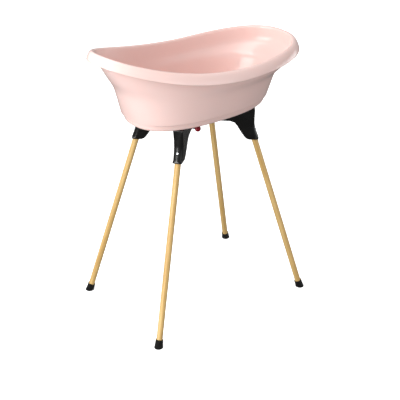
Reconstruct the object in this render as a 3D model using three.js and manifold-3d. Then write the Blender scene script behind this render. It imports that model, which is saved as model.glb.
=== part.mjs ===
// Baby bathtub on a folding four-legged stand.
// Millimetres, +Z up. Origin on the floor under the middle of the stand; the tub's length runs along X.
import * as THREE from "three";
import { mergeVertices } from "three/addons/utils/BufferGeometryUtils.js";
import Module from "manifold-3d";

const wasm = await Module();
wasm.setup();

// ---- driving dimensions ----
const touchGap = 0.3; // clearance between faces that rest on each other

const tubBaseZ = 722; // underside of the tub
const wall = 4.5; // moulded wall thickness
const rimLength = 753; // crest of the rim, end to end
const rimHalfWidth = 178; // crest of the rim at its widest station
const rimWideX = 50; // where the rim is widest
const rimLowX = 77; // where the rim is lowest
const rimLowZ = 900.4; // lowest height of the rim crest
const headRise = 98; // extra height of the backrest end
const headRun = 470;
const footRise = 16; // extra height of the foot end
const footRun = 300;
const lipReach = 20.5; // how far the turned-down lip stands out from the crest
const lipDrop = 34.7; // how far the lip hangs below the crest
const tubSegments = 64;

const drainX = 150; // drain on the centre line, between the stand's arms
const drainHoleRadius = 17.4;

const armAngle = (37.2 * Math.PI) / 180; // plan angle of each beam from X
const armTopZ = 720.7;
const armUndersideZ = 677;
const armHalfWidth = 13;
const bracketHalfWidth = 16.5;
const bracketBottomZ = 609;
const bracketOuterRadius = 201;
const bracketFlareRadius = 216.5;
const discRadius = 54;
const discSplitZ = 699.2; // middle of the gap between the two crossed beams
const discGap = 1.6;

const footRadius = 388; // leg axis on the floor, from the stand's middle
const footSkew = (2.3 * Math.PI) / 180; // plan angle of each foot from its beam, towards the tub's ends
const socketRadius = 201.5; // leg axis at the bottom of the bracket
const legRadius = 10.45;
const socketBoreRadius = 10.8;
const socketDepth = 62;
const legFootInset = 7;

const pivotRadius = 4;
const pivotHoleRadius = 4.3;
const bossRadius = 17;
const bossBottomZ = 650;

const lockRadius = 31.6; // lock pin, from the pivot axis
const lockPlan = (-111 * Math.PI) / 180; // plan angle of the lock pin from X
const lockPinRadius = 3;
const lockHoleRadius = 3.3;
const lockPocketRadius = 7.2;
const lockPocketTopZ = 696;
const foldDegrees = 76;

// ---- materials ----
const finish = (color, roughness, metalness = 0) => () =>
  new THREE.MeshStandardMaterial({ color, roughness, metalness });
const pinkPlastic = finish(0xf2cfca, 0.25);
const whitePlastic = finish(0xeeeae4, 0.35);
const blackPlastic = finish(0x17181a, 0.22);
const blackRubber = finish(0x202020, 0.8);
const redPlastic = finish(0x9c0f26, 0.3);
const beechWood = finish(0xd9b878, 0.55);
const steel = finish(0xb9bcc0, 0.3, 1);

// ---- solids ----
function toManifold(geometry) {
  if (geometry instanceof wasm.Manifold) {
    return geometry;
  }
  const bare = geometry.clone();
  bare.deleteAttribute("normal");
  bare.deleteAttribute("uv");
  const merged = mergeVertices(bare, 1e-4);
  return new wasm.Manifold(
    new wasm.Mesh({
      numProp: 3,
      vertProperties: new Float32Array(merged.attributes.position.array),
      triVerts: new Uint32Array(merged.index.array),
    })
  );
}

function toGeometry(manifold) {
  const mesh = manifold.getMesh();
  const geometry = new THREE.BufferGeometry();
  const position = new THREE.BufferAttribute(new Float32Array(mesh.vertProperties), 3);
  geometry.setAttribute("position", position);
  geometry.setIndex(new THREE.BufferAttribute(new Uint32Array(mesh.triVerts), 1));
  geometry.computeVertexNormals();
  return geometry;
}

// cut, join and common take geometries or solids already cut, and give a solid
function cut(base, ...tools) {
  return tools.reduce((left, tool) => left.subtract(toManifold(tool)), toManifold(base));
}

function join(base, ...more) {
  return more.reduce((sum, piece) => sum.add(toManifold(piece)), toManifold(base));
}

function common(base, tool) {
  return toManifold(base).intersect(toManifold(tool));
}

// upright cylinder between two heights
function post(radius, bottomZ, topZ, x = 0, y = 0, sides = 24) {
  const geometry = new THREE.CylinderGeometry(radius, radius, topZ - bottomZ, sides);
  geometry.rotateX(Math.PI / 2);
  return geometry.translate(x, y, (bottomZ + topZ) / 2);
}

// lathed solid about Z, from [radius, z] pairs
function turned(profile, x = 0, y = 0, sides = 24) {
  const points = profile.map(([radius, z]) => new THREE.Vector2(radius, z));
  const geometry = new THREE.LatheGeometry(points, sides);
  geometry.rotateX(Math.PI / 2);
  return geometry.translate(x, y, 0);
}

// lathed ring whose section is the closed loop of [radius, z] pairs
function turnedRing(profile, x = 0, y = 0, sides = 24) {
  return turned([...profile, profile[0]], x, y, sides);
}

// flat outline raised between two heights
function plate(shape, bottomZ, topZ) {
  const geometry = new THREE.ExtrudeGeometry(shape, { depth: topZ - bottomZ, bevelEnabled: false });
  return geometry.translate(0, 0, bottomZ);
}

// ---- tub ----
// height of the rim crest above its lowest point
function sheer(x) {
  const along = x - rimLowX;
  if (along < 0) {
    return headRise * Math.pow(-along / headRun, 1.93);
  }
  return footRise * Math.pow(along / footRun, 1.5);
}

// one closed outline of the tub: a blend of two superellipses that meet at the widest station
function tubRing({ wideX, headEnd, footEnd, halfWidth, headPower, footPower, z, follow }) {
  const ring = [];
  for (let i = 0; i < tubSegments; i += 1) {
    const angle = (2 * Math.PI * i) / tubSegments;
    const cos = Math.cos(angle);
    const sin = Math.sin(angle);
    const reach = cos < 0 ? headEnd + wideX : footEnd - wideX;
    const power = cos < 0 ? headPower : footPower;
    const x = wideX + reach * Math.sign(cos) * Math.pow(Math.abs(cos), 2 / power);
    const y = halfWidth * Math.sign(sin) * Math.pow(Math.abs(sin), 2 / power);
    ring.push([x, y, z + follow * sheer(x)]);
  }
  return ring;
}

const baseLevel = { wideX: 0, headPower: 2.46, footPower: 2.46, follow: 0 };
const rimLevel = {
  wideX: rimWideX,
  headPower: 2,
  footPower: 2.4,
  follow: 1,
};

// a level of the base: half length, half width and height
const low = (halfLength, halfWidth, z) => ({
  ...baseLevel,
  headEnd: halfLength,
  footEnd: halfLength,
  halfWidth,
  z,
});

// a level near the rim: how far it stands out from the crest and how far it lies below it
const high = (out, down, headIn = 0, footIn = 0) => ({
  ...rimLevel,
  headEnd: rimLength / 2 + out - headIn,
  footEnd: rimLength / 2 + out - footIn,
  halfWidth: rimHalfWidth + out,
  z: rimLowZ - down,
});

// the soft crease half way up the wall, moved inwards by the given amount
const crease = (inset) => ({
  wideX: 14,
  headEnd: 296 - inset,
  footEnd: 303 - inset,
  halfWidth: 165 - inset,
  headPower: 2.3,
  footPower: 2.4,
  z: 822,
  follow: 0.42,
});

// a level between two others
function between(a, b, t) {
  const level = {};
  for (const key of Object.keys(a)) {
    level[key] = a[key] + (b[key] - a[key]) * t;
  }
  return level;
}

const bodyFoot = low(267, 158.5, 748.5);
const flareTop = high(-1.5, 50, 24, 7);
const innerBodyFoot = low(262, 153.5, 752);
const innerFlareTop = high(-1.5 - wall, 50, 24, 7);
const creaseBlend = 0.86;

const tubLevels = [
  low(120, 66, tubBaseZ),
  low(250, 140, tubBaseZ),
  low(255.5, 145.5, 724.5),
  low(258, 148, 730),
  low(259.5, 149.5, 744),
  low(266, 157.5, 746),
  bodyFoot,
  between(bodyFoot, crease(0), 0.5),
  between(bodyFoot, crease(0), creaseBlend),
  between(crease(0), flareTop, 0.16),
  between(crease(0), flareTop, 0.55),
  flareTop,
  high(-1.8, 16),
  high(0.6, 8.5),
  high(4.5, 11.5),
  high(15, 32),
  high(18.6, lipDrop),
  high(lipReach, 32),
  high(17.5, 21),
  high(12, 9.5),
  high(6, 2.4),
  high(0, 0),
  high(-4.2, 2.2),
  high(-6.3, 8),
  innerFlareTop,
  between(innerFlareTop, crease(wall), 0.5),
  between(innerFlareTop, crease(wall), 0.84),
  between(crease(wall), innerBodyFoot, 0.16),
  between(crease(wall), innerBodyFoot, 0.6),
  innerBodyFoot,
  low(254, 146, 738.5),
  low(240, 132, 730),
  low(216, 110, 726.8),
  low(120, 66, 726.3),
];

// skin of the tub from the middle of its underside, over the rim, to the middle of its floor
function tubShell() {
  const rings = tubLevels.map(tubRing);
  const vertices = [0, 0, tubBaseZ];
  for (const ring of rings) {
    for (const point of ring) {
      vertices.push(...point);
    }
  }
  vertices.push(0, 0, 726.3);
  const last = rings.length * tubSegments + 1;
  const at = (level, i) => 1 + level * tubSegments + (i % tubSegments);
  const faces = [];
  for (let i = 0; i < tubSegments; i += 1) {
    faces.push(0, at(0, i + 1), at(0, i));
    for (let level = 0; level < rings.length - 1; level += 1) {
      faces.push(at(level, i), at(level, i + 1), at(level + 1, i + 1));
      faces.push(at(level, i), at(level + 1, i + 1), at(level + 1, i));
    }
    faces.push(last, at(rings.length - 1, i), at(rings.length - 1, i + 1));
  }
  const geometry = new THREE.BufferGeometry();
  geometry.setAttribute("position", new THREE.Float32BufferAttribute(vertices, 3));
  geometry.setIndex(faces);
  return cut(geometry, post(drainHoleRadius, tubBaseZ - 5, 740, drainX, 0, 28));
}

// ---- drain ----
const drainBody = () =>
  turnedRing(
    [
      [24, 726.6],
      [24, 727.6],
      [22.5, 729],
      [16.6, 729],
      [13.9, 725.5],
      [13.9, 706],
      [7.4, 699],
      [7.4, 674],
      [8.6, 674],
      [9.8, 679],
      [9, 681],
      [9.8, 686],
      [9, 688],
      [9, 699],
      [17, 705],
      [17, 726.6],
    ],
    drainX
  );

const drainGasket = () =>
  turnedRing(
    [
      [17.4, 719.2],
      [23.4, 719.2],
      [23.4, tubBaseZ - touchGap],
      [17.4, tubBaseZ - touchGap],
    ],
    drainX
  );

function drainNut() {
  const hex = post(24, 711, 718.9, drainX, 0, 6);
  return cut(hex, post(17.3, 700, 730, drainX));
}

const eyeZ = 735.6;
const ringRadius = 8.2;

function drainPlug() {
  const stopper = turned(
    [
      [0, 715],
      [12.4, 715],
      [13.4, 726],
      [13.4, 729.3],
      [17.2, 729.3],
      [17.2, 731],
      [15.5, 732.4],
      [0, 732.4],
    ],
    drainX
  );
  const lug = new THREE.BoxGeometry(3.4, 8.4, 8).translate(drainX, 0, 734.6);
  const eye = new THREE.CylinderGeometry(1.8, 1.8, 10, 16).rotateZ(Math.PI / 2).translate(drainX, 0, eyeZ);
  return cut(join(stopper, lug), eye);
}

function plugRing() {
  const ring = new THREE.TorusGeometry(ringRadius, 1.2, 6, 22);
  ring.rotateX(Math.PI / 2);
  return ring.translate(drainX, 0, eyeZ + ringRadius);
}

// ---- stand: everything below is drawn with its beam along local X and turned by its plan angle ----
const footOut = footRadius * Math.cos(footSkew);
const footAside = footRadius * Math.sin(footSkew);
const legSlope = Math.atan2(Math.hypot(footOut - socketRadius, footAside), bracketBottomZ);
const legHeading = Math.atan2(footAside, footOut - socketRadius);
const legLength = (z) => z / Math.cos(legSlope);

// upright tool turned onto a leg's axis: heights become distances from the floor along the leg.
// Side is 1 or -1 for the two ends of a beam, and lean is 1 or -1 for the way its feet are skewed.
function onLeg(geometry, side, lean) {
  geometry.rotateY(-legSlope);
  geometry.rotateZ(lean * legHeading);
  geometry.translate(footOut, lean * footAside, 0);
  return side < 0 ? geometry.rotateZ(Math.PI) : geometry;
}

// outline of one arm and its bracket, seen from the side, for the +X end
function armOutline() {
  const shape = new THREE.Shape();
  shape.moveTo(0, armTopZ + 12);
  shape.lineTo(0, armUndersideZ);
  shape.lineTo(118, armUndersideZ);
  shape.bezierCurveTo(131, armUndersideZ, 138, 667, 143.5, 657);
  shape.bezierCurveTo(151, 643, 158, 632, 165, 622.5);
  shape.bezierCurveTo(171, 614, 177, bracketBottomZ, 186, bracketBottomZ);
  shape.lineTo(bracketFlareRadius - 4, bracketBottomZ);
  shape.quadraticCurveTo(bracketFlareRadius, bracketBottomZ, bracketFlareRadius - 0.6, bracketBottomZ + 4.5);
  shape.bezierCurveTo(211, 629, bracketOuterRadius, 650, bracketOuterRadius, 668);
  shape.lineTo(bracketOuterRadius, armTopZ + 12);
  shape.closePath();
  return shape;
}

// plan outline of both arms: slim at the hub, full width at the brackets
function beamPlan() {
  const slimEnd = 84;
  const wideStart = 126;
  const shape = new THREE.Shape();
  const end = bracketFlareRadius + 10;
  const middle = (slimEnd + wideStart) / 2;
  shape.moveTo(end, bracketHalfWidth);
  shape.lineTo(wideStart, bracketHalfWidth);
  shape.bezierCurveTo(middle, bracketHalfWidth, middle, armHalfWidth, slimEnd, armHalfWidth);
  shape.lineTo(-slimEnd, armHalfWidth);
  shape.bezierCurveTo(-middle, armHalfWidth, -middle, bracketHalfWidth, -wideStart, bracketHalfWidth);
  shape.lineTo(-end, bracketHalfWidth);
  shape.lineTo(-end, -bracketHalfWidth);
  shape.lineTo(-wideStart, -bracketHalfWidth);
  shape.bezierCurveTo(-middle, -bracketHalfWidth, -middle, -armHalfWidth, -slimEnd, -armHalfWidth);
  shape.lineTo(slimEnd, -armHalfWidth);
  shape.bezierCurveTo(middle, -armHalfWidth, middle, -bracketHalfWidth, wideStart, -bracketHalfWidth);
  shape.lineTo(end, -bracketHalfWidth);
  shape.closePath();
  return shape;
}

// one arm, its outline upright and its thickness across Y
function arm(side) {
  const thickness = 2 * bracketHalfWidth + 4;
  const geometry = new THREE.ExtrudeGeometry(armOutline(), {
    depth: thickness,
    bevelEnabled: false,
    curveSegments: 8,
  });
  geometry.translate(0, 0, -thickness / 2);
  geometry.rotateX(Math.PI / 2);
  if (side < 0) {
    geometry.rotateZ(Math.PI);
  }
  return geometry;
}

const screwHeight = 638; // where the screw's axis crosses the leg's axis
const screwHeadRadius = 4;
const screwHoleRadius = 2.2;
const screwSeat = 12.4; // from the leg's axis to the underside of the screw's head

// cylinder along a leg screw's axis, between two distances outwards from the leg's axis
function alongScrew(radius, from, to, side, lean, sides = 16) {
  const geometry = new THREE.CylinderGeometry(radius, radius, to - from, sides);
  geometry.rotateZ(-Math.PI / 2);
  geometry.translate((from + to) / 2, 0, legLength(screwHeight));
  return onLeg(geometry, side, lean);
}

// grip pad outline, or its pocket when grown by the gap
function padShape(side, grow) {
  const halfLength = 28 + grow;
  const half = 6.5 + grow;
  const middle = side * 152;
  const shape = new THREE.Shape();
  shape.moveTo(middle - halfLength + half, -half);
  shape.lineTo(middle + halfLength - half, -half);
  shape.absarc(middle + halfLength - half, 0, half, -Math.PI / 2, Math.PI / 2, false);
  shape.lineTo(middle - halfLength + half, half);
  shape.absarc(middle - halfLength + half, 0, half, Math.PI / 2, (3 * Math.PI) / 2, false);
  return shape;
}

const lowerLean = -1;
const upperLean = 1;

// the lock's place in the lower beam's own frame
const lockX = lockRadius * Math.cos(lockPlan - armAngle);
const lockY = lockRadius * Math.sin(lockPlan - armAngle);

const padBottomZ = 717.7;
const lowerDiscTopZ = discSplitZ - discGap / 2;
const upperDiscBottomZ = discSplitZ + discGap / 2;

// both arms joined, trimmed to the plan outline, flat on top, with sockets, screw holes and pad pockets
function crossBeam(ownDisc, otherDisc, lean) {
  const arms = common(join(arm(1), arm(-1)), plate(beamPlan(), bracketBottomZ - 5, armTopZ));
  const tools = [otherDisc];
  for (const side of [-1, 1]) {
    const bore = post(socketBoreRadius, legLength(bracketBottomZ) - 30, legLength(bracketBottomZ) + socketDepth);
    tools.push(onLeg(bore, side, lean));
    tools.push(alongScrew(screwHoleRadius, 0, 30, side, lean));
    tools.push(alongScrew(screwHeadRadius + 0.5, screwSeat - touchGap, 40, side, lean));
    tools.push(plate(padShape(side, touchGap), padBottomZ - touchGap, armTopZ + 5));
  }
  return join(cut(arms, ...tools), ownDisc);
}

// lower beam: carries the pivot boss and the lock's spring pocket
function lowerBeam() {
  const disc = post(discRadius, armUndersideZ, lowerDiscTopZ, 0, 0, 48);
  const cleared = post(discRadius + 0.6, lowerDiscTopZ, armTopZ + 5, 0, 0, 48);
  const boss = turned([
    [0, bossBottomZ],
    [bossRadius - 2, bossBottomZ],
    [bossRadius, bossBottomZ + 2],
    [bossRadius, 674],
    [bossRadius + 1, armUndersideZ],
    [bossRadius + 1, armUndersideZ + 2],
    [0, armUndersideZ + 2],
  ]);
  return cut(
    join(crossBeam(disc, cleared, lowerLean), boss),
    post(pivotHoleRadius, 600, 740),
    post(9.2, 600, 666),
    post(lockHoleRadius, 660, 740, lockX, lockY, 20),
    post(lockPocketRadius, 660, lockPocketTopZ, lockX, lockY, 24)
  );
}

// curved slot that the tip of the lock pin runs in as the stand folds
function lockSlot() {
  const start = lockPlan + armAngle;
  const end = start + (foldDegrees * Math.PI) / 180;
  const half = lockPinRadius + 0.6;
  const shape = new THREE.Shape();
  shape.absarc(0, 0, lockRadius + half, start, end, false);
  shape.absarc(lockRadius * Math.cos(end), lockRadius * Math.sin(end), half, end, end + Math.PI, false);
  shape.absarc(0, 0, lockRadius - half, end, start, true);
  shape.absarc(lockRadius * Math.cos(start), lockRadius * Math.sin(start), half, start + Math.PI, start, false);
  return plate(shape, upperDiscBottomZ - 3, 708.5);
}

// upper beam: its disc lies on the lower one and holds the pivot bolt's head
function upperBeam() {
  const disc = post(discRadius, upperDiscBottomZ, armTopZ, 0, 0, 48);
  const cleared = post(discRadius + 0.6, 600, upperDiscBottomZ, 0, 0, 48);
  return cut(
    crossBeam(disc, cleared, upperLean),
    post(pivotHoleRadius, 600, 740),
    post(10, 713.5, 740),
    lockSlot()
  );
}

// ---- pivot ----
const pivotBolt = () =>
  turned([
    [0, 654],
    [pivotRadius - 0.6, 654],
    [pivotRadius, 655],
    [pivotRadius, 713.8],
    [9.2, 713.8],
    [8.4, 717],
    [5, 719.3],
    [0, 719.8],
  ]);

const slipWasher = () => cut(post(20, 698.7, 699.7), post(pivotHoleRadius, 690, 710));
const pivotWasher = () => cut(post(8.8, 664.2, 665.7), post(pivotHoleRadius, 650, 680));
const pivotNut = () => cut(post(7.8, 657, 663.9, 0, 0, 6), post(pivotHoleRadius, 650, 680));
const pivotCover = () =>
  turned([
    [0, 645.6],
    [12, 646],
    [bossRadius - 0.8, 648],
    [bossRadius - 0.8, bossBottomZ - touchGap],
    [8.8, bossBottomZ - touchGap],
    [8.8, 653.5],
    [0, 653.5],
  ]);

// ---- lock ----
const ballRadius = 10.4;
const ballZ = 656;
const neckRadius = 5.6;

function lockKnob() {
  const profile = [[0, ballZ - ballRadius]];
  const neckAngle = Math.acos(neckRadius / ballRadius);
  const steps = 7;
  for (let i = 1; i <= steps; i += 1) {
    const angle = -Math.PI / 2 + ((Math.PI / 2 + neckAngle) * i) / steps;
    profile.push([ballRadius * Math.cos(angle), ballZ + ballRadius * Math.sin(angle)]);
  }
  profile.push([neckRadius, 671.6], [0, 671.6]);
  const bore = post(lockHoleRadius, 657.7, 680, lockX, lockY, 20);
  return cut(turned(profile, lockX, lockY, 24), bore);
}

const lockPin = () =>
  turned(
    [
      [0, 658],
      [lockPinRadius, 658],
      [lockPinRadius, 692.9],
      [6.6, 692.9],
      [6.6, 695.4],
      [lockPinRadius, 695.4],
      [lockPinRadius, 705.4],
      [lockPinRadius - 1.2, 706.6],
      [0, 706.6],
    ],
    lockX,
    lockY,
    20
  );

const lockBush = () =>
  turnedRing(
    [
      [lockHoleRadius, 672.2],
      [10.2, 672.2],
      [11, 673],
      [11, armUndersideZ - touchGap],
      [6.9, armUndersideZ - touchGap],
      [6.9, 679.8],
      [lockHoleRadius, 679.8],
    ],
    lockX,
    lockY,
    24
  );

class Coil extends THREE.Curve {
  getPoint(t, target = new THREE.Vector3()) {
    const turns = 4.5;
    const angle = 2 * Math.PI * turns * t;
    const z = 680.8 + 11.2 * t;
    return target.set(lockX + 5.1 * Math.cos(angle), lockY + 5.1 * Math.sin(angle), z);
  }
}

function lockSpring() {
  const wire = new THREE.Shape();
  wire.absarc(0, 0, 0.6, 0, 2 * Math.PI, false);
  return new THREE.ExtrudeGeometry(wire, { steps: 44, extrudePath: new Coil(), curveSegments: 3 });
}

// ---- legs ----
function leg(side, lean) {
  const dowel = post(legRadius, legFootInset, legLength(bracketBottomZ) + socketDepth - 1, 0, 0, 24);
  return cut(onLeg(dowel, side, lean), alongScrew(screwHoleRadius, -3, 30, side, lean));
}

function foot(side, lean) {
  const topEnd = 28;
  const ferrule = turned(
    [
      [0, -8],
      [15.2, -8],
      [14.6, 3],
      [13.2, topEnd - 2],
      [12.4, topEnd],
      [0, topEnd],
    ],
    0,
    0,
    24
  );
  const bore = post(legRadius + touchGap, legFootInset - touchGap, topEnd + 10, 0, 0, 24);
  const floor = new THREE.BoxGeometry(80, 120, 40).translate(side * footRadius, 0, -20);
  return cut(onLeg(ferrule, side, lean), onLeg(bore, side, lean), floor);
}

function legScrew(side, lean) {
  const head = alongScrew(screwHeadRadius, screwSeat, screwSeat + 2.4, side, lean);
  const shank = alongScrew(1.9, -2.5, screwSeat + 0.5, side, lean, 14);
  const slot = alongScrew(1.5, screwSeat + 1, screwSeat + 4, side, lean, 6);
  return cut(join(head, shank), slot);
}

const gripPad = (side) => plate(padShape(side, 0), padBottomZ, tubBaseZ - touchGap);

// ---- assembly ----
const bathtub = new THREE.Group();

function add(parent, name, shape, material) {
  const geometry = shape instanceof wasm.Manifold ? toGeometry(shape) : shape;
  const mesh = new THREE.Mesh(geometry, material());
  mesh.name = name;
  parent.add(mesh);
}

add(bathtub, "tub_shell", tubShell(), pinkPlastic);
add(bathtub, "drain_body", drainBody(), whitePlastic);
add(bathtub, "drain_gasket", drainGasket(), blackRubber);
add(bathtub, "drain_nut", drainNut(), whitePlastic);
add(bathtub, "drain_plug", drainPlug(), whitePlastic);
add(bathtub, "plug_ring", plugRing(), steel);

const lowerFrame = new THREE.Group();
lowerFrame.rotation.z = armAngle;
add(lowerFrame, "beam_lower", lowerBeam(), blackPlastic);
add(lowerFrame, "pivot_bolt", pivotBolt(), steel);
add(lowerFrame, "pivot_washer", pivotWasher(), steel);
add(lowerFrame, "pivot_nut", pivotNut(), steel);
add(lowerFrame, "pivot_cover", pivotCover(), blackPlastic);
add(lowerFrame, "slip_washer", slipWasher(), whitePlastic);
add(lowerFrame, "lock_knob", lockKnob(), redPlastic);
add(lowerFrame, "lock_pin", lockPin(), steel);
add(lowerFrame, "lock_bush", lockBush(), blackPlastic);
add(lowerFrame, "lock_spring", lockSpring(), steel);

const upperFrame = new THREE.Group();
upperFrame.rotation.z = -armAngle;
add(upperFrame, "beam_upper", upperBeam(), blackPlastic);

const corners = [
  [lowerFrame, -1, lowerLean, "front"],
  [lowerFrame, 1, lowerLean, "back"],
  [upperFrame, -1, upperLean, "left"],
  [upperFrame, 1, upperLean, "right"],
];
for (const [frame, side, lean, corner] of corners) {
  add(frame, `leg_${corner}`, leg(side, lean), beechWood);
  add(frame, `foot_${corner}`, foot(side, lean), blackRubber);
  add(frame, `leg_screw_${corner}`, legScrew(side, lean), steel);
  add(frame, `grip_pad_${corner}`, gripPad(side), blackRubber);
}

bathtub.add(lowerFrame, upperFrame);

export default bathtub;
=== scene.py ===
import math

import bmesh
import bpy
import numpy as np
from mathutils import Matrix, Vector


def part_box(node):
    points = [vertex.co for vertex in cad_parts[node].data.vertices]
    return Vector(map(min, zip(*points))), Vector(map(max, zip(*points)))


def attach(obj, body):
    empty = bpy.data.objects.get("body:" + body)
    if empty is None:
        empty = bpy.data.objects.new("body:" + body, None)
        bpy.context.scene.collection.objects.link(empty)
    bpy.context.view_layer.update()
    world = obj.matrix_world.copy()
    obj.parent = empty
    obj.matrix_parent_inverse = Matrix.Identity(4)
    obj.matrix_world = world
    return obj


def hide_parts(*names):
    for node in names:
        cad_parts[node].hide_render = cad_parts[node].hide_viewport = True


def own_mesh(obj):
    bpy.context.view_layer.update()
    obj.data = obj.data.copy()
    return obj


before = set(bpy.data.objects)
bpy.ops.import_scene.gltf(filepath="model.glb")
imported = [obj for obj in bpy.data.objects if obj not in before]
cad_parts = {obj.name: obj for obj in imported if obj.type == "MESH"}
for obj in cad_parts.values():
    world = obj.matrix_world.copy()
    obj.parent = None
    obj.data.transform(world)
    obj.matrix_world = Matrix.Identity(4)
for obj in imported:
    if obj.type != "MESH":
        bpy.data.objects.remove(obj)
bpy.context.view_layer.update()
scene = bpy.context.scene
mm = 0.001
turn = 2 * math.pi
weldDistance = 1e-6
sharpAngle = math.radians(32)
fitGap = 0.3  # millimetres of play round a fitted piece
xAxis, yAxis, zAxis = np.eye(3)
square = ((-0.5, -0.5), (0.5, -0.5), (0.5, 0.5), (-0.5, 0.5))


# quads of a grid stored row by row; a closed direction joins its last line to its first
def gridQuads(rows, columns, closedRows):
    r = np.arange(rows if closedRows else rows - 1)[:, None]
    c = np.arange(columns)[None, :]
    nextR, nextC = (r + 1) % rows, (c + 1) % columns
    corners = [r * columns + c, r * columns + nextC, nextR * columns + nextC, nextR * columns + c]
    return np.stack(corners, axis=-1).reshape(-1, 4)


# closed mesh from points[row, column]; columns run round, and rows end in poles or close on themselves
def gridMesh(name, points, closedRows=False):
    rows, columns = points.shape[:2]
    mesh = bpy.data.meshes.new(name)
    mesh.from_pydata(points.reshape(-1, 3).tolist(), [], gridQuads(rows, columns, closedRows).tolist())
    return tidied(mesh)


# welds what coincides, turns all faces outwards and shades smoothly between the sharp edges
def tidied(mesh):
    work = bmesh.new()
    work.from_mesh(mesh)
    bmesh.ops.remove_doubles(work, verts=work.verts, dist=weldDistance)
    bmesh.ops.dissolve_degenerate(work, edges=work.edges, dist=weldDistance)
    bmesh.ops.recalc_face_normals(work, faces=work.faces)
    work.to_mesh(mesh)
    work.free()
    mesh.polygons.foreach_set("use_smooth", np.ones(len(mesh.polygons), bool))
    mesh.set_sharp_from_angle(angle=sharpAngle)
    return mesh


# each corner of a line gives way to a short quadratic curve that leaves its sides `reach` away from it
def rounded(corners, reach, steps=5, closed=False):
    corners = np.asarray(corners, float)
    reach = np.broadcast_to(reach, corners.shape[:-1])[..., None]
    ends = []
    for shift in (1, -1):
        side = np.roll(corners, shift, axis=-2) - corners
        length = np.maximum(np.linalg.norm(side, axis=-1, keepdims=True), 1e-9)
        ends.append(corners + side * np.minimum(reach / length, 0.5))
    t = np.linspace(0, 1, steps)[:, None]
    start, middle, end = (p[..., None, :] for p in (ends[0], corners, ends[1]))
    curve = (1 - t) ** 2 * start + 2 * t * (1 - t) * middle + t ** 2 * end
    if not closed:
        curve[..., 0, :, :] = corners[..., :1, :]
        curve[..., -1, :, :] = corners[..., -1:, :]
    return curve.reshape(*corners.shape[:-2], -1, 2)


# a profile of [radius, height] carried once round the Z axis
def turned(profile, sides=72):
    profile = np.asarray(profile, float)
    angle = np.arange(sides) * turn / sides
    x = profile[:, :1] * np.cos(angle)
    y = profile[:, :1] * np.sin(angle)
    z = np.broadcast_to(profile[:, 1:], x.shape)
    return np.stack([x, y, z], axis=-1)


# a flat outline of [x, y] raised between two heights, closed by fans from the matching inner points
def raised(outline, inner, low, high):
    rows = [(inner, low), (outline, low), (outline, high), (inner, high)]
    return np.stack([np.column_stack([flat, np.full(len(flat), z)]) for flat, z in rows])


# turns points about Z
def planTurned(points, angle):
    c, s = math.cos(angle), math.sin(angle)
    return points @ np.array([[c, s, 0], [-s, c, 0], [0, 0, 1]])


# points drawn about the Z axis are laid along another axis, with their X towards `across`
def laidAlong(points, origin, along, across):
    sideways = np.cross(along, across)
    return origin + points[..., :1] * across + points[..., 1:2] * sideways + points[..., 2:] * along


# points of a mesh as rows of [x, y, z]
def pointsOf(mesh):
    points = np.empty(len(mesh.vertices) * 3)
    mesh.vertices.foreach_get("co", points)
    return points.reshape(-1, 3)


# joins or cuts a closed mesh with others, one after another
def carved(mesh, operation, tools):
    base = bpy.data.objects.new("carving", mesh)
    scene.collection.objects.link(base)
    helpers = []
    for tool in tools:
        helper = bpy.data.objects.new("tool", tool)
        scene.collection.objects.link(helper)
        helpers.append(helper)
        step = base.modifiers.new("step", "BOOLEAN")
        step.operation = operation
        step.solver = "EXACT"
        step.object = helper
    shown = base.evaluated_get(bpy.context.evaluated_depsgraph_get())
    result = bpy.data.meshes.new_from_object(shown)
    result.name = mesh.name
    for helper in [base, *helpers]:
        spent = helper.data
        bpy.data.objects.remove(helper)
        bpy.data.meshes.remove(spent)
    return tidied(result)


# makes the finished piece and ties it to its body, finish and CAD nodes
def finished(name, mesh, material, body, evenShading=True):
    piece = bpy.data.objects.new(f"{name}_piece", mesh)
    scene.collection.objects.link(piece)
    mesh.materials.clear()
    mesh.materials.append(material)
    if evenShading:
        shading = piece.modifiers.new("even shading", "WEIGHTED_NORMAL")
        shading.keep_sharp = True
    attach(piece, body)
    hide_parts(name)
    return piece


# middle of a CAD node in plan, at its lowest point
def footOf(node):
    low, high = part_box(node)
    return np.array([(low.x + high.x) / 2, (low.y + high.y) / 2, low.z])


# colour given as the 0-255 values of a paint chart, made linear
def paint(red, green, blue):
    channel = np.array([red, green, blue]) / 255
    linear = np.where(channel <= 0.04045, channel / 12.92, ((channel + 0.055) / 1.055) ** 2.4)
    return (*linear.tolist(), 1.0)


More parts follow.
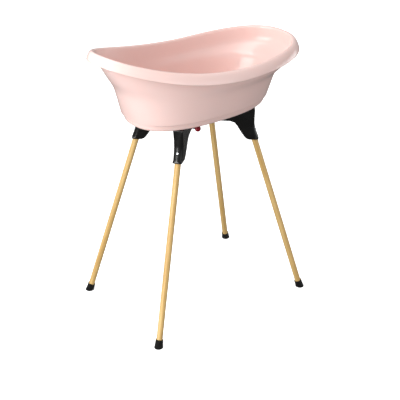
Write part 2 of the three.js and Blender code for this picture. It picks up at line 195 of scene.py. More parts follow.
# injection-moulded plastic: slow colour drift, gloss that varies a little, fine skin over soft waviness
def mouldedPlastic(name, look):
    material = bpy.data.materials.new(name)
    material.use_nodes = True
    nodes, links = material.node_tree.nodes, material.node_tree.links
    nodes.clear()

    colourFrame = nodes.new("NodeFrame")
    colourFrame.label = "colour drift in the moulding"
    glossFrame = nodes.new("NodeFrame")
    glossFrame.label = "gloss with faint handling marks"
    skinFrame = nodes.new("NodeFrame")
    skinFrame.label = "moulded skin and flow waves"

    place = nodes.new("ShaderNodeTexCoord")
    place.label = "where on the piece"
    place.location = (-1100, 0)

    drift = nodes.new("ShaderNodeTexNoise")
    drift.label = "slow drift of the pigment"
    drift.location = (-860, 320)
    drift.parent = colourFrame
    drift.inputs["Scale"].default_value = look["driftScale"]
    drift.inputs["Detail"].default_value = 2.0
    links.new(place.outputs["Object"], drift.inputs["Vector"])

    pigment = nodes.new("ShaderNodeValToRGB")
    pigment.label = "pigment from thin to full"
    pigment.location = (-640, 320)
    pigment.parent = colourFrame
    pigment.color_ramp.elements[0].position = 0.3
    pigment.color_ramp.elements[0].color = look["colour"]
    pigment.color_ramp.elements[1].position = 0.7
    pigment.color_ramp.elements[1].color = look["colourFull"]
    links.new(drift.outputs["Fac"], pigment.inputs["Fac"])

    marks = nodes.new("ShaderNodeTexNoise")
    marks.label = "handling marks"
    marks.location = (-860, 20)
    marks.parent = glossFrame
    marks.inputs["Scale"].default_value = look["marksScale"]
    marks.inputs["Detail"].default_value = 5.0
    marks.inputs["Roughness"].default_value = 0.6
    links.new(place.outputs["Object"], marks.inputs["Vector"])

    gloss = nodes.new("ShaderNodeMapRange")
    gloss.label = "roughness of the marks"
    gloss.location = (-640, 20)
    gloss.parent = glossFrame
    gloss.inputs["From Min"].default_value = 0.35
    gloss.inputs["From Max"].default_value = 0.7
    gloss.inputs["To Min"].default_value = look["roughness"]
    gloss.inputs["To Max"].default_value = look["roughnessWorn"]
    links.new(marks.outputs["Fac"], gloss.inputs["Value"])

    skin = nodes.new("ShaderNodeTexNoise")
    skin.label = "fine moulded skin"
    skin.location = (-860, -300)
    skin.parent = skinFrame
    skin.inputs["Scale"].default_value = look["skinScale"]
    skin.inputs["Detail"].default_value = 3.0
    links.new(place.outputs["Object"], skin.inputs["Vector"])

    skinBump = nodes.new("ShaderNodeBump")
    skinBump.label = "height of the skin"
    skinBump.location = (-640, -300)
    skinBump.parent = skinFrame
    skinBump.inputs["Strength"].default_value = look["skinStrength"]
    skinBump.inputs["Distance"].default_value = 0.0002
    links.new(skin.outputs["Fac"], skinBump.inputs["Height"])

    waves = nodes.new("ShaderNodeTexNoise")
    waves.label = "soft flow waves"
    waves.location = (-860, -560)
    waves.parent = skinFrame
    waves.inputs["Scale"].default_value = look["waveScale"]
    waves.inputs["Detail"].default_value = 1.0
    links.new(place.outputs["Object"], waves.inputs["Vector"])

    waveBump = nodes.new("ShaderNodeBump")
    waveBump.label = "height of the waves"
    waveBump.location = (-420, -420)
    waveBump.parent = skinFrame
    waveBump.inputs["Strength"].default_value = look["waveStrength"]
    waveBump.inputs["Distance"].default_value = 0.002
    links.new(waves.outputs["Fac"], waveBump.inputs["Height"])
    links.new(skinBump.outputs["Normal"], waveBump.inputs["Normal"])

    shader = nodes.new("ShaderNodeBsdfPrincipled")
    shader.label = "plastic"
    shader.location = (-160, 120)
    shader.inputs["IOR"].default_value = 1.5
    shader.inputs["Specular IOR Level"].default_value = look["specular"]
    shader.inputs["Coat Weight"].default_value = look["coat"]
    shader.inputs["Coat Roughness"].default_value = 0.08
    shader.inputs["Subsurface Weight"].default_value = look["glow"]
    shader.inputs["Subsurface Radius"].default_value = (1.0, 0.6, 0.5)
    shader.inputs["Subsurface Scale"].default_value = 0.004
    links.new(pigment.outputs["Color"], shader.inputs["Base Color"])
    links.new(gloss.outputs["Result"], shader.inputs["Roughness"])
    links.new(waveBump.outputs["Normal"], shader.inputs["Normal"])

    result = nodes.new("ShaderNodeOutputMaterial")
    result.label = "surface"
    result.location = (140, 120)
    links.new(shader.outputs["BSDF"], result.inputs["Surface"])
    return material


# soft black rubber: matt, with dust in random patches, and a pebbled skin
def softRubber(name, look):
    material = bpy.data.materials.new(name)
    material.use_nodes = True
    nodes, links = material.node_tree.nodes, material.node_tree.links
    nodes.clear()

    dustFrame = nodes.new("NodeFrame")
    dustFrame.label = "dust that rubber picks up"
    pebbleFrame = nodes.new("NodeFrame")
    pebbleFrame.label = "pebbled skin"

    place = nodes.new("ShaderNodeTexCoord")
    place.label = "where on the piece"
    place.location = (-1000, 0)

    dust = nodes.new("ShaderNodeTexNoise")
    dust.label = "dust patches"
    dust.location = (-780, 220)
    dust.parent = dustFrame
    dust.inputs["Scale"].default_value = look["dustScale"]
    dust.inputs["Detail"].default_value = 6.0
    links.new(place.outputs["Object"], dust.inputs["Vector"])

    tint = nodes.new("ShaderNodeValToRGB")
    tint.label = "rubber to dust"
    tint.location = (-560, 220)
    tint.parent = dustFrame
    tint.color_ramp.elements[0].position = 0.45
    tint.color_ramp.elements[0].color = look["colour"]
    tint.color_ramp.elements[1].position = 0.85
    tint.color_ramp.elements[1].color = look["dustColour"]
    links.new(dust.outputs["Fac"], tint.inputs["Fac"])

    dull = nodes.new("ShaderNodeMapRange")
    dull.label = "duller where dusty"
    dull.location = (-560, -20)
    dull.parent = dustFrame
    dull.inputs["To Min"].default_value = 0.5
    dull.inputs["To Max"].default_value = 0.85
    links.new(dust.outputs["Fac"], dull.inputs["Value"])

    pebbles = nodes.new("ShaderNodeTexVoronoi")
    pebbles.label = "fine pebbles"
    pebbles.location = (-780, -280)
    pebbles.parent = pebbleFrame
    pebbles.inputs["Scale"].default_value = look["pebbleScale"]
    links.new(place.outputs["Object"], pebbles.inputs["Vector"])

    relief = nodes.new("ShaderNodeBump")
    relief.label = "height of the pebbles"
    relief.location = (-560, -280)
    relief.parent = pebbleFrame
    relief.inputs["Strength"].default_value = 0.4
    relief.inputs["Distance"].default_value = 0.0002
    links.new(pebbles.outputs["Distance"], relief.inputs["Height"])

    shader = nodes.new("ShaderNodeBsdfPrincipled")
    shader.label = "rubber"
    shader.location = (-260, 60)
    shader.inputs["Specular IOR Level"].default_value = 0.12
    shader.inputs["IOR"].default_value = 1.45
    shader.inputs["Sheen Weight"].default_value = 0.15
    links.new(tint.outputs["Color"], shader.inputs["Base Color"])
    links.new(dull.outputs["Result"], shader.inputs["Roughness"])
    links.new(relief.outputs["Normal"], shader.inputs["Normal"])

    result = nodes.new("ShaderNodeOutputMaterial")
    result.label = "surface"
    result.location = (40, 60)
    links.new(shader.outputs["BSDF"], result.inputs["Surface"])
    return material


# turned steel: fine rings of tool marks and a slightly uneven polish
def brightSteel(name, look):
    material = bpy.data.materials.new(name)
    material.use_nodes = True
    nodes, links = material.node_tree.nodes, material.node_tree.links
    nodes.clear()

    polishFrame = nodes.new("NodeFrame")
    polishFrame.label = "uneven polish"
    toolFrame = nodes.new("NodeFrame")
    toolFrame.label = "tool marks"

    place = nodes.new("ShaderNodeTexCoord")
    place.label = "where on the piece"
    place.location = (-1000, 0)

    cloud = nodes.new("ShaderNodeTexNoise")
    cloud.label = "clouding of the plating"
    cloud.location = (-780, 220)
    cloud.parent = polishFrame
    cloud.inputs["Scale"].default_value = look["cloudScale"]
    cloud.inputs["Detail"].default_value = 4.0
    links.new(place.outputs["Object"], cloud.inputs["Vector"])

    tone = nodes.new("ShaderNodeValToRGB")
    tone.label = "bright to dull plating"
    tone.location = (-560, 220)
    tone.parent = polishFrame
    tone.color_ramp.elements[0].position = 0.35
    tone.color_ramp.elements[0].color = look["colour"]
    tone.color_ramp.elements[1].position = 0.75
    tone.color_ramp.elements[1].color = look["colourDull"]
    links.new(cloud.outputs["Fac"], tone.inputs["Fac"])

    polish = nodes.new("ShaderNodeMapRange")
    polish.label = "polish"
    polish.location = (-560, -20)
    polish.parent = polishFrame
    polish.inputs["To Min"].default_value = look["roughness"]
    polish.inputs["To Max"].default_value = look["roughness"] + 0.2
    links.new(cloud.outputs["Fac"], polish.inputs["Value"])

    rings = nodes.new("ShaderNodeTexWave")
    rings.label = "turning rings"
    rings.location = (-780, -280)
    rings.parent = toolFrame
    rings.bands_direction = "Z"
    rings.inputs["Scale"].default_value = look["ringScale"]
    rings.inputs["Distortion"].default_value = 0.6
    links.new(place.outputs["Object"], rings.inputs["Vector"])

    relief = nodes.new("ShaderNodeBump")
    relief.label = "depth of the rings"
    relief.location = (-560, -280)
    relief.parent = toolFrame
    relief.inputs["Strength"].default_value = 0.15
    relief.inputs["Distance"].default_value = 0.0001
    links.new(rings.outputs["Fac"], relief.inputs["Height"])

    shader = nodes.new("ShaderNodeBsdfPrincipled")
    shader.label = "steel"
    shader.location = (-260, 60)
    shader.inputs["Metallic"].default_value = 1.0
    links.new(tone.outputs["Color"], shader.inputs["Base Color"])
    links.new(polish.outputs["Result"], shader.inputs["Roughness"])
    links.new(relief.outputs["Normal"], shader.inputs["Normal"])

    result = nodes.new("ShaderNodeOutputMaterial")
    result.label = "surface"
    result.location = (40, 60)
    links.new(shader.outputs["BSDF"], result.inputs["Surface"])
    return material


# lacquered beech: lengthwise streaks, short dark flecks and a little tonal drift, along the leg's own axis
def lacqueredBeech(name, look):
    material = bpy.data.materials.new(name)
    material.use_nodes = True
    nodes, links = material.node_tree.nodes, material.node_tree.links
    nodes.clear()

    streakFrame = nodes.new("NodeFrame")
    streakFrame.label = "lengthwise grain"
    fleckFrame = nodes.new("NodeFrame")
    fleckFrame.label = "short dark flecks"
    lacquerFrame = nodes.new("NodeFrame")
    lacquerFrame.label = "lacquer over the grain"

    place = nodes.new("ShaderNodeAttribute")
    place.label = "place on the leg"
    place.location = (-1400, 0)
    place.attribute_name = look["placeName"]

    streakStretch = nodes.new("ShaderNodeMapping")
    streakStretch.label = "long thin streaks"
    streakStretch.location = (-1180, 300)
    streakStretch.parent = streakFrame
    streakStretch.inputs["Scale"].default_value = look["streakScale"]
    links.new(place.outputs["Vector"], streakStretch.inputs["Vector"])

    streaks = nodes.new("ShaderNodeTexNoise")
    streaks.label = "streaks"
    streaks.location = (-960, 300)
    streaks.parent = streakFrame
    streaks.inputs["Scale"].default_value = 1.0
    streaks.inputs["Detail"].default_value = 6.0
    streaks.inputs["Roughness"].default_value = 0.65
    streaks.inputs["Distortion"].default_value = 0.4
    links.new(streakStretch.outputs["Vector"], streaks.inputs["Vector"])

    grainTone = nodes.new("ShaderNodeValToRGB")
    grainTone.label = "light and dark wood"
    grainTone.location = (-740, 300)
    grainTone.parent = streakFrame
    grainTone.color_ramp.elements[0].position = 0.32
    grainTone.color_ramp.elements[0].color = look["dark"]
    grainTone.color_ramp.elements[1].position = 0.68
    grainTone.color_ramp.elements[1].color = look["light"]
    middleTone = grainTone.color_ramp.elements.new(0.5)
    middleTone.color = look["middle"]
    links.new(streaks.outputs["Fac"], grainTone.inputs["Fac"])

    fleckStretch = nodes.new("ShaderNodeMapping")
    fleckStretch.label = "short narrow flecks"
    fleckStretch.location = (-1180, -60)
    fleckStretch.parent = fleckFrame
    fleckStretch.inputs["Scale"].default_value = look["fleckScale"]
    links.new(place.outputs["Vector"], fleckStretch.inputs["Vector"])

    flecks = nodes.new("ShaderNodeTexNoise")
    flecks.label = "flecks"
    flecks.location = (-960, -60)
    flecks.parent = fleckFrame
    flecks.inputs["Scale"].default_value = 1.0
    flecks.inputs["Detail"].default_value = 2.0
    links.new(fleckStretch.outputs["Vector"], flecks.inputs["Vector"])

    fleckMask = nodes.new("ShaderNodeMapRange")
    fleckMask.label = "only the strongest flecks"
    fleckMask.location = (-740, -60)
    fleckMask.parent = fleckFrame
    fleckMask.inputs["From Min"].default_value = 0.6
    fleckMask.inputs["From Max"].default_value = 0.74
    fleckMask.inputs["To Max"].default_value = look["fleckWeight"]
    links.new(flecks.outputs["Fac"], fleckMask.inputs["Value"])

    flecked = nodes.new("ShaderNodeMix")
    flecked.label = "flecks over the grain"
    flecked.location = (-480, 200)
    flecked.parent = fleckFrame
    flecked.data_type = "RGBA"
    flecked.inputs["B"].default_value = look["fleck"]
    links.new(fleckMask.outputs["Result"], flecked.inputs["Factor"])
    links.new(grainTone.outputs["Color"], flecked.inputs["A"])

    satin = nodes.new("ShaderNodeMapRange")
    satin.label = "satin, duller in the pores"
    satin.location = (-740, -340)
    satin.parent = lacquerFrame
    satin.inputs["To Min"].default_value = look["roughness"] + 0.12
    satin.inputs["To Max"].default_value = look["roughness"]
    links.new(streaks.outputs["Fac"], satin.inputs["Value"])

    pores = nodes.new("ShaderNodeBump")
    pores.label = "pores felt through the lacquer"
    pores.location = (-480, -300)
    pores.parent = lacquerFrame
    pores.inputs["Strength"].default_value = 0.25
    pores.inputs["Distance"].default_value = 0.0003
    links.new(streaks.outputs["Fac"], pores.inputs["Height"])

    shader = nodes.new("ShaderNodeBsdfPrincipled")
    shader.label = "lacquered wood"
    shader.location = (-200, 60)
    shader.inputs["IOR"].default_value = 1.48
    shader.inputs["Coat Weight"].default_value = look["coat"]
    shader.inputs["Coat Roughness"].default_value = 0.25
    links.new(flecked.outputs["Result"], shader.inputs["Base Color"])
    links.new(satin.outputs["Result"], shader.inputs["Roughness"])
    links.new(pores.outputs["Normal"], shader.inputs["Normal"])

    result = nodes.new("ShaderNodeOutputMaterial")
    result.label = "surface"
    result.location = (100, 60)
    links.new(shader.outputs["BSDF"], result.inputs["Surface"])
    return material


pinkLook = {
    "colour": paint(245, 214, 208),
    "colourFull": paint(243, 210, 203),
    "driftScale": 3.0,
    "marksScale": 14.0,
    "roughness": 0.2,
    "roughnessWorn": 0.27,
    "skinScale": 900.0,
    "skinStrength": 0.05,
    "waveScale": 9.0,
    "waveStrength": 0.03,
    "specular": 0.5,
    "coat": 0.3,
    "glow": 0.12,
}
fittingLook = {
    **pinkLook,
    "colour": paint(240, 238, 232),
    "colourFull": paint(232, 229, 222),
    "driftScale": 20.0,
    "marksScale": 60.0,
    "roughness": 0.3,
    "roughnessWorn": 0.42,
    "glow": 0.08,
}
blackLook = {
    **pinkLook,
    "colour": paint(13, 13, 13),
    "colourFull": paint(18, 18, 17),
    "driftScale": 12.0,
    "marksScale": 26.0,
    "roughness": 0.2,
    "roughnessWorn": 0.36,
    "skinScale": 1400.0,
    "skinStrength": 0.12,
    "waveScale": 30.0,
    "waveStrength": 0.05,
    "specular": 0.3,
    "coat": 0.05,
    "glow": 0.0,
}
redLook = {
    **blackLook,
    "colour": paint(158, 14, 36),
    "colourFull": paint(142, 10, 32),
    "roughness": 0.24,
    "roughnessWorn": 0.34,
    "glow": 0.03,
}
rubberLook = {
    "colour": paint(10, 10, 10),
    "dustColour": paint(30, 29, 27),
    "dustScale": 90.0,
    "pebbleScale": 1800.0,
}
steelLook = {
    "colour": paint(205, 207, 210),
    "colourDull": paint(168, 170, 174),
    "cloudScale": 160.0,
    "roughness": 0.16,
    "ringScale": 900.0,
}
beechLook = {
    "placeName": "placeOnLeg",
    "light": paint(224, 191, 130),
    "middle": paint(213, 177, 113),
    "dark": paint(194, 153, 89),
    "fleck": paint(150, 104, 55),
    "fleckWeight": 0.3,
    "streakScale": (150.0, 150.0, 5.0),
    "fleckScale": (900.0, 900.0, 70.0),
    "roughness": 0.42,
    "coat": 0.12,
}

pinkPlastic = mouldedPlastic("pink moulded plastic", pinkLook)
fittingPlastic = mouldedPlastic("white fitting plastic", fittingLook)
blackPlastic = mouldedPlastic("black moulded plastic", blackLook)
redPlastic = mouldedPlastic("red knob plastic", redLook)
blackRubber = softRubber("black rubber", rubberLook)
plainSteel = brightSteel("bright steel", steelLook)
beechWood = lacqueredBeech("lacquered beech", beechLook)
print("materials made")


# the tub in millimetres: levels above the floor, the rim oval and how it rises towards its ends
tub = {
    "baseZ": 722, "floorZ": 726.3, "wall": 4.5,
    "rimEnd": 376.5, "rimHalfWidth": 178, "rimWideX": 50, "rimZ": 900.4,
    "lowX": 77, "headRise": 98, "headRun": 470, "footRise": 16, "footRun": 300,
    "basePower": 2.46, "drainHole": 17.4,
    "columns": 320, "rowsPerLevel": 6,
}


# height of the rim crest above its lowest point: a power curve towards each end
def sheer(x):
    towardsHead = tub["headRise"] * (np.maximum(tub["lowX"] - x, 0) / tub["headRun"]) ** 1.93
    towardsFoot = tub["footRise"] * (np.maximum(x - tub["lowX"], 0) / tub["footRun"]) ** 1.5
    return towardsHead + towardsFoot


# a level is [widest x, head end, foot end, half width, head power, foot power, height, share of the sheer]
def lowLevel(halfLength, halfWidth, z):
    power = tub["basePower"]
    return np.array([0, halfLength, halfLength, halfWidth, power, power, z, 0])


# a level of the rim: how far outside the rim oval and below the crest, drawn in at either end
def highLevel(out, down, headIn=0, footIn=0):
    end = tub["rimEnd"] + out
    return np.array([tub["rimWideX"], end - headIn, end - footIn, tub["rimHalfWidth"] + out,
                     2, 2.4, tub["rimZ"] - down, 1])


# the level of the soft crease between body and flare
def creaseLevel(inset):
    return np.array([14, 296 - inset, 303 - inset, 165 - inset, 2.3, 2.4, 822, 0.42])


# straight mix of two levels
def between(a, b, t):
    return a + (b - a) * t


# each level is two superellipse halves that meet at the widest station, lifted by its share of the sheer
def levelRings(levels, angle):
    wideX, head, foot, halfWidth, headPower, footPower, z, share = (levels[:, i:i + 1] for i in range(8))
    cos, sin = np.cos(angle)[None, :], np.sin(angle)[None, :]
    towardsHead = cos < 0
    reach = np.where(towardsHead, head + wideX, foot - wideX)
    power = np.where(towardsHead, headPower, footPower)
    x = wideX + reach * np.sign(cos) * np.abs(cos) ** (2 / power)
    y = halfWidth * np.sign(sin) * np.abs(sin) ** (2 / power)
    return np.stack([x, y, z + share * sheer(x)], axis=-1)


# round rings at the drain hole: centre, radius and height
def holeRings(sizes, angle):
    rings = [np.stack([drainX + r * np.cos(angle), r * np.sin(angle), np.full(len(angle), z)], axis=-1)
             for r, z in sizes]
    return np.array(rings)


# quadratic spline across the rows: every control ring bends the skin between the middles of its neighbours
def splinedRows(rings, steps):
    t = (np.arange(steps) / steps)[:, None, None]
    start = (np.roll(rings, 1, axis=0) + rings) / 2
    end = (np.roll(rings, -1, axis=0) + rings) / 2
    curve = (1 - t) ** 2 * start[:, None] + 2 * t * (1 - t) * rings[:, None] + t ** 2 * end[:, None]
    return curve.reshape(-1, rings.shape[1], 3)


# one skin from the drain hole out under the base, up the outside, over the lip and back down the inside
def tubSkin():
    wall, baseZ, floorZ, hole = tub["wall"], tub["baseZ"], tub["floorZ"], tub["drainHole"]
    bodyFoot = lowLevel(267, 158.5, 748.5)
    innerFoot = lowLevel(262, 153.5, 752)
    crease, innerCrease = creaseLevel(0), creaseLevel(wall)
    flareTop = highLevel(-1.5, 50, 24, 7)
    innerFlareTop = highLevel(-1.5 - wall, 50, 24, 7)
    levels = np.array([
        lowLevel(249, 139, baseZ), lowLevel(253, 143, baseZ + 0.3), lowLevel(256.6, 146.6, baseZ + 4),
        lowLevel(258, 148, 730), lowLevel(259.2, 149.2, 741), lowLevel(259.8, 149.8, 745.6),
        lowLevel(265, 156, 745.8), lowLevel(266.6, 158, 746.6), bodyFoot,
        between(bodyFoot, crease, 0.2), between(bodyFoot, crease, 0.5), between(bodyFoot, crease, 0.86),
        between(crease, flareTop, 0.12), between(crease, flareTop, 0.5), flareTop,
        highLevel(-1.8, 16), highLevel(0.6, 8.2), highLevel(4.8, 11.5), highLevel(14.6, 31.5),
        highLevel(16, 34.6), highLevel(18.4, 35.2), highLevel(20.6, 33.6), highLevel(20.2, 30),
        highLevel(17.3, 20.5), highLevel(12, 9), highLevel(6.4, 1.6),
        highLevel(0.4, -0.7), highLevel(-4.6, 1.6), highLevel(-6.6, 8),
        innerFlareTop, between(innerFlareTop, innerCrease, 0.5), between(innerFlareTop, innerCrease, 0.88),
        between(innerCrease, innerFoot, 0.14), between(innerCrease, innerFoot, 0.5), innerFoot,
        lowLevel(254, 146, 738.5), lowLevel(240, 132, 729.5), lowLevel(216, 110, floorZ),
    ])
    angle = np.arange(tub["columns"]) * turn / tub["columns"]
    under = holeRings(
        [(hole, baseZ + 1.6), (hole, baseZ + 0.2), (hole + 1.2, baseZ), (hole + 4, baseZ)], angle)
    above = holeRings(
        [(hole + 4, floorZ), (hole + 1, floorZ), (hole, floorZ - 0.3), (hole, floorZ - 1.4)], angle)
    rings = np.concatenate([under, levelRings(levels, angle), above])
    return gridMesh("tub_shell", splinedRows(rings, tub["rowsPerLevel"]) * mm, closedRows=True)


drainX = footOf("drain_body")[0] / mm
finished("tub_shell", tubSkin(), pinkPlastic, "tub", evenShading=False)
print("tub made")


# a turned piece stands on its CAD node's own foot; heights in its profile are above that foot
def turnedPiece(node, corners, reach, material, body, closed=False, sides=72, steps=4):
    profile = rounded(corners, reach, steps, closed)
    mesh = gridMesh(node, turned(profile * mm, sides) + footOf(node), closedRows=closed)
    return finished(node, mesh, material, body)


drain = {
    # radius and height above the hose tail's end
    "body": [(24, 52.6), (24, 53.8), (22.2, 55), (16.8, 55), (13.9, 51.5), (13.9, 32), (7.4, 25),
             (7.4, 0.4), (8, 0), (8.7, 0.4), (9.8, 5), (9, 6.6), (9, 7.4), (9.8, 12), (9, 13.6), (9, 25),
             (17, 31), (17, 52.6)],
    "gasket": [(17.4, 0), (23.4, 0), (23.4, 2.5), (17.4, 2.5)],
    "nutRadius": 24, "nutHole": 17.3, "nutHeight": 7.9, "nutChamfer": 1.6,
    "plug": [(0, 0), (12.2, 0), (12.7, 3), (12.5, 4), (13.0, 7), (12.8, 8), (13.4, 11.6), (13.4, 14.3),
             (17.2, 14.3), (17.2, 16), (15.4, 17.4), (0, 17.4)],
    "lug": (3.4, 8.4), "eye": 1.8, "eyeAboveTop": 3.2,
    "ringRadius": 8.2, "ringWire": 1.2,
}


# hexagonal nut: the radius is the smaller of the hexagon's and the chamfer cone's
def hexNut(name, cornerRadius, hole, height, chamfer, origin, sides=96):
    angle = np.arange(sides) * turn / sides
    flat = cornerRadius * math.cos(math.pi / 6)
    hexagon = flat / np.cos((angle % (math.pi / 3)) - math.pi / 6)
    rows = []
    for cone, z in ((hole, 0.4), (hole + 0.4, 0), (flat + 0.2, 0), (flat + 0.8, chamfer * 0.35),
                    (cornerRadius, chamfer), (cornerRadius, height - chamfer),
                    (flat + 0.8, height - chamfer * 0.35), (flat + 0.2, height), (hole + 0.4, height),
                    (hole, height - 0.4)):
        radius = np.minimum(hexagon, cone)
        rows.append(np.stack([radius * np.cos(angle), radius * np.sin(angle), np.full(sides, z)], axis=-1))
    return gridMesh(name, np.array(rows) * mm + origin, closedRows=True)


# a block of a given size, turned about Z
def boxMesh(name, centre, size, turnAngle=0.0):
    corners = np.array([[x, y, z] for z in (-0.5, 0.5) for x, y in square])
    points = planTurned(corners * np.array(size), turnAngle) + np.array(centre)
    mesh = bpy.data.meshes.new(name)
    faces = [(0, 3, 2, 1), (4, 5, 6, 7), (0, 1, 5, 4), (1, 2, 6, 5), (2, 3, 7, 6), (3, 0, 4, 7)]
    mesh.from_pydata(points.tolist(), [], faces)
    return mesh


# the fitting in the tub's floor, then the stopper with its eye and pull ring
def drainSet():
    turnedPiece("drain_body", drain["body"], 0.5, fittingPlastic, "tub", closed=True)
    turnedPiece("drain_gasket", drain["gasket"], 0.6, blackRubber, "tub", closed=True)
    nut = hexNut("drain_nut", drain["nutRadius"], drain["nutHole"], drain["nutHeight"], drain["nutChamfer"],
                 footOf("drain_nut"))
    finished("drain_nut", nut, fittingPlastic, "tub")

    foot = footOf("drain_plug")
    stopper = gridMesh("drain_plug", turned(rounded(drain["plug"], 0.6, 4) * mm, 72) + foot)
    topZ = drain["plug"][-1][1]
    lugWide, lugLong = drain["lug"]
    lugCorners = [(0, -2), (lugLong / 2, -2), (lugLong / 2, 4), (lugLong / 2 - 1.6, 6.2), (0, 6.2)]
    lug = gridMesh("lug", turned(rounded(lugCorners, 0.8, 4) * mm, 32) * (lugWide / lugLong, 1, 1)
                   + foot + zAxis * topZ * mm)
    eyeCentre = foot + zAxis * (topZ + drain["eyeAboveTop"]) * mm
    eyeProfile = [(0, -6), (drain["eye"], -6), (drain["eye"], 6), (0, 6)]
    eye = gridMesh("eye", laidAlong(turned(np.array(eyeProfile) * mm, 24), eyeCentre, xAxis, yAxis))
    plug = carved(carved(stopper, "UNION", [lug]), "DIFFERENCE", [eye])
    finished("drain_plug", plug, fittingPlastic, "plug")

    # pull ring: a round wire carried round a circle that stands on edge in the lug's eye
    major, minor = np.meshgrid(np.arange(64) * turn / 64, np.arange(14) * turn / 14, indexing="ij")
    reach = drain["ringRadius"] + drain["ringWire"] * np.cos(minor)
    low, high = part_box("plug_ring")
    points = np.stack(
        [reach * np.cos(major), drain["ringWire"] * np.sin(minor), reach * np.sin(major)], axis=-1)
    ring = gridMesh("plug_ring", points * mm + np.array((low + high) / 2), closedRows=True)
    finished("plug_ring", ring, plainSteel, "plug")


drainSet()
print("drain made")


# the crossed beams, in millimetres above the floor or outwards from the hub
stand = {
    "planAngle": math.radians(37.2), "footRadius": 388, "footSkew": math.radians(2.3),
    "socketRadius": 201.5, "socketZ": 609,
    "topZ": 720.7, "undersideZ": 677, "slimHalf": 13, "wideHalf": 16.5, "slimEnd": 84, "wideStart": 126,
    "outerRadius": 201, "flareRadius": 216.5,
    "underEdge": 2.6, "topEdge": 2.2, "faceRounding": 14, "shoulderDrop": 6,
    "hubRadius": 54.6, "discRadius": 54, "lowerDiscTop": 698.4, "upperDiscBottom": 700.0,
    "socketBore": 10.8, "socketDepth": 62, "pivotHole": 4.3, "bossRadius": 17, "bossBottom": 650,
    "lockRadius": 31.6, "lockPlan": math.radians(-111), "lockSlotHalf": 3.6,
    "lockSlotTop": 708.5, "foldAngle": math.radians(76), "cutLow": 600, "cutHigh": 740,
    "headRecess": 10, "headRecessFloor": 713.5, "nutRecess": 9.2, "nutRecessTop": 666,
    "pinHole": 3.3, "springWell": 7.2, "springWellTop": 696, "lockCutLow": 660,
    "ribPockets": (68, 88, 108), "ribPocketZ": 684, "ribPocketLength": 17, "ribPocketHeight": 26,
    "ribWall": 3,
    "padMiddle": 152, "padHalfLength": 28, "padHalf": 6.5, "padBottom": 717.7,
    "screwZ": 638, "screwSeat": 12.4, "screwHead": 4.0, "screwHole": 2.2,
}
footOut = stand["footRadius"] * math.cos(stand["footSkew"])
footAside = stand["footRadius"] * math.sin(stand["footSkew"])
legSlope = math.atan2(math.hypot(footOut - stand["socketRadius"], footAside), stand["socketZ"])
legHeading = math.atan2(footAside, footOut - stand["socketRadius"])


# cubic curve from a to d that heads for b and arrives from c
def bezier(a, b, c, d, count=12):
    t = np.linspace(0, 1, count)[:, None]
    a, b, c, d = (np.array(p, float) for p in (a, b, c, d))
    return (1 - t) ** 3 * a + 3 * t * (1 - t) ** 2 * b + 3 * t ** 2 * (1 - t) * c + t ** 3 * d


# how far along a line each of its points lies, as a share of its length
def sharesAlong(line):
    steps = np.linalg.norm(np.diff(line, axis=0), axis=1)
    return np.concatenate([[0], np.cumsum(steps)]) / steps.sum()


# points of one line at the given shares of its length
def alongLine(line, shares):
    at = sharesAlong(line)
    return np.column_stack([np.interp(shares, at, line[:, 0]), np.interp(shares, at, line[:, 1])])


# underside and outer line of one bracket as [distance from the hub, height], station by station
def bracketLines():
    top, under, bottom = stand["topZ"], stand["undersideZ"], stand["socketZ"]
    outer, flare = stand["outerRadius"], stand["flareRadius"]
    underside = np.concatenate([
        bezier((118, under), (131, under), (138, 667), (143.5, 657)),
        bezier((143.5, 657), (151, 643), (158, 632), (165, 622.5))[1:],
        bezier((165, 622.5), (171, 614), (177, bottom), (186, bottom))[1:],
    ])
    shoulder = rounded(
        [(118, top), (150, top), (180, top), (outer, top), (outer, 700), (outer, 684), (outer, 668)],
        [0, 0, 0, 3, 0, 0, 0], 4)
    face = np.concatenate([
        shoulder[np.insert(np.linalg.norm(np.diff(shoulder, axis=0), axis=1) > 1e-6, 0, True)],
        bezier((outer, 668), (outer, 650), (211, 629), (flare - 0.6, bottom + 4.5))[1:],
        bezier((flare - 0.6, bottom + 4.5), (flare - 0.2, bottom + 1.5), (flare - 1.5, bottom),
               (flare - 4, bottom), 6)[1:],
    ])
    return alongLine(underside, sharesAlong(face)), face


# half width of the beam at a distance from the hub: slim near the hub, full at the brackets
def beamHalfWidth(distance):
    t = np.clip((distance - stand["slimEnd"]) / (stand["wideStart"] - stand["slimEnd"]), 0, 1)
    return stand["slimHalf"] + (stand["wideHalf"] - stand["slimHalf"]) * t * t * (3 - 2 * t)


